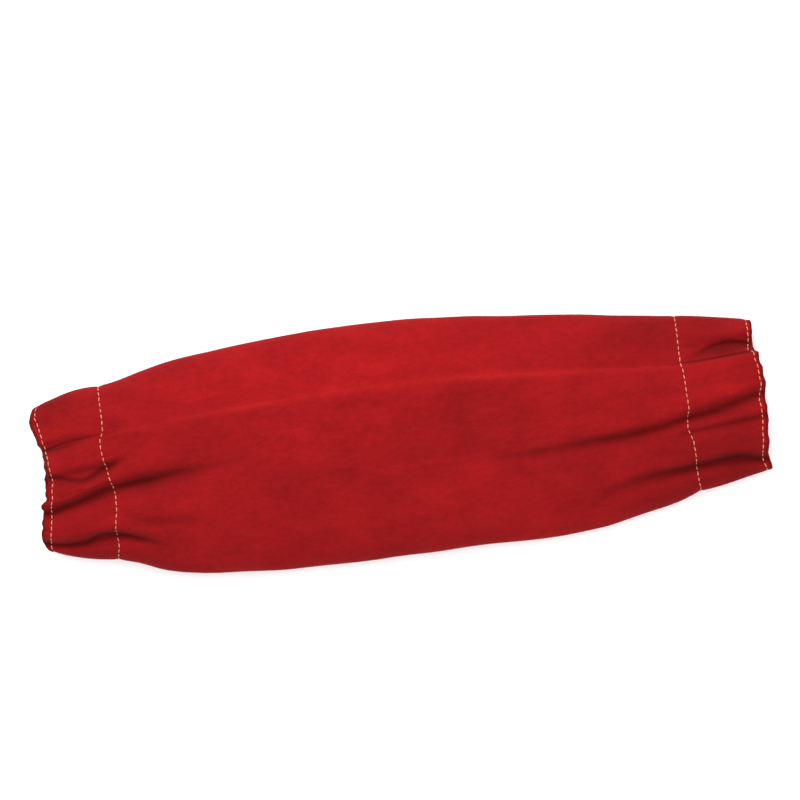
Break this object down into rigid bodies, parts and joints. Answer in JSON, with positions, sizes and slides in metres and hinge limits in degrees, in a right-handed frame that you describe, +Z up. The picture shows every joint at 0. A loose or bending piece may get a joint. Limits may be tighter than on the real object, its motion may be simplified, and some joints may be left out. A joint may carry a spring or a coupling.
{
  "type": "welding sleeve",
  "caption": "Protective split-leather sleeve for a welder's arm: a wide tube with a long turned seam, gathered on elastic at both ends, lying flat.",
  "frame": {"origin": "middle of the ground that the sleeve covers as it lies flat", "axes": "+X along the sleeve to the wrist cuff, +Y across it, +Z up from the ground"},
  "size_m": [0.583, 0.1862, 0.0397],
  "materials": {
    "leather": "suede nap of split cowhide, matt",
    "elastic": "woven elastic webbing",
    "thread": "waxed topstitching thread"
  },
  "bodies": {
    "root": {"sleeve_body": "leather", "arm_elastic": "elastic", "wrist_elastic": "elastic"}
  },
  "joints": []
}
